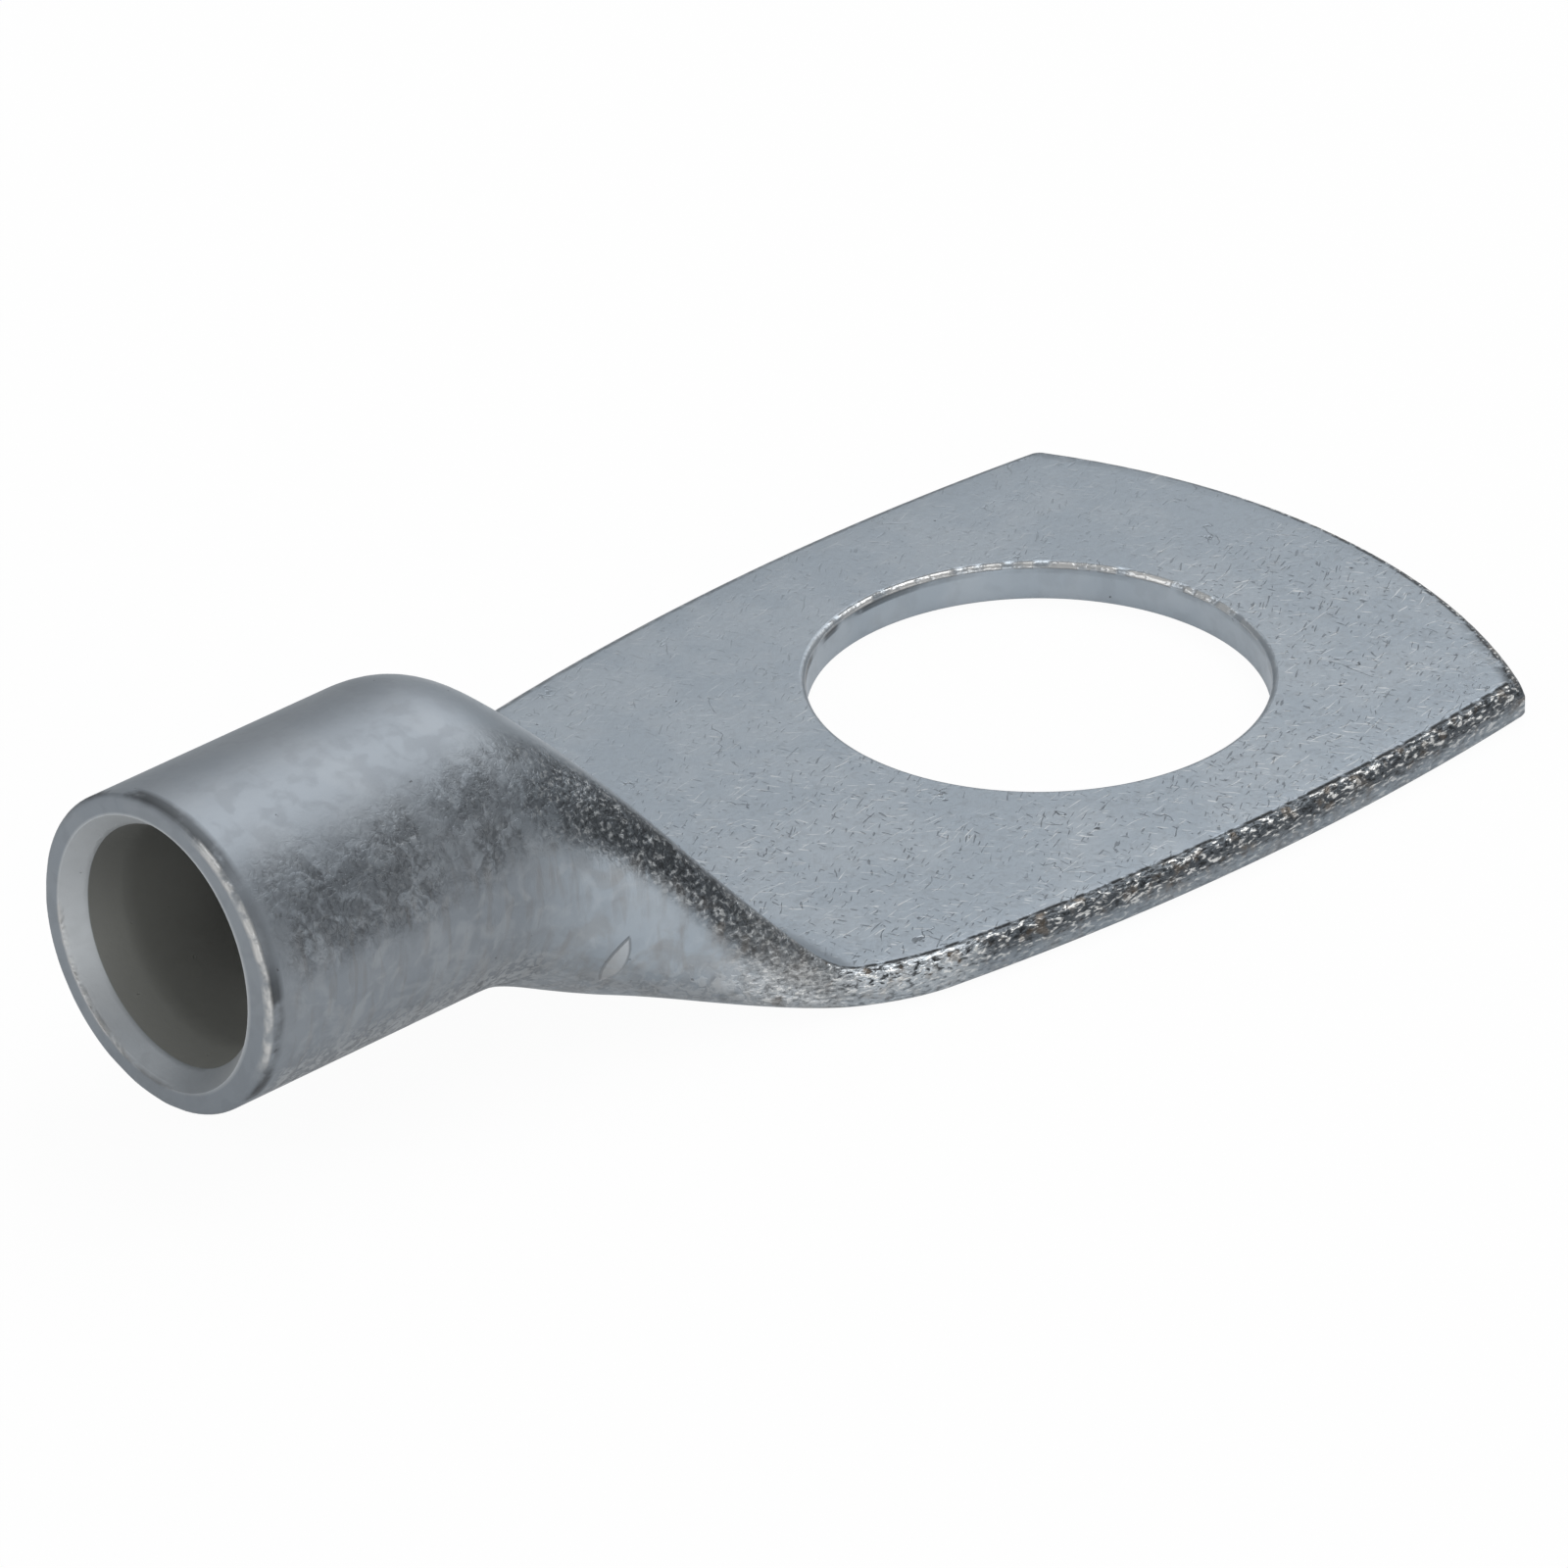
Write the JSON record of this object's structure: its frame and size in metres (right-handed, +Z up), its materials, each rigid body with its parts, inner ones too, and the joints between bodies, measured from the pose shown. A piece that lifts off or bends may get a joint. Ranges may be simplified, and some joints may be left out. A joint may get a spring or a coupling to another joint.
{
  "type": "ring terminal",
  "caption": "One-piece crimp ring terminal: a round tubular barrel for a stranded conductor, pressed flat into a wide palm with a large stud hole.",
  "frame": {"origin": "centre of the stud hole at the palm's contact face (its underside)", "axes": "+Z up out of the stud hole, +X from the barrel towards the palm's tip, +Y across the palm"},
  "size_m": [0.0445, 0.0208, 0.0099],
  "materials": {
    "tin_plate": "satin tin plating over copper, cool grey, slightly grainy where the metal was bent"
  },
  "bodies": {
    "root": {"cable_lug": "tin_plate"}
  },
  "joints": []
}
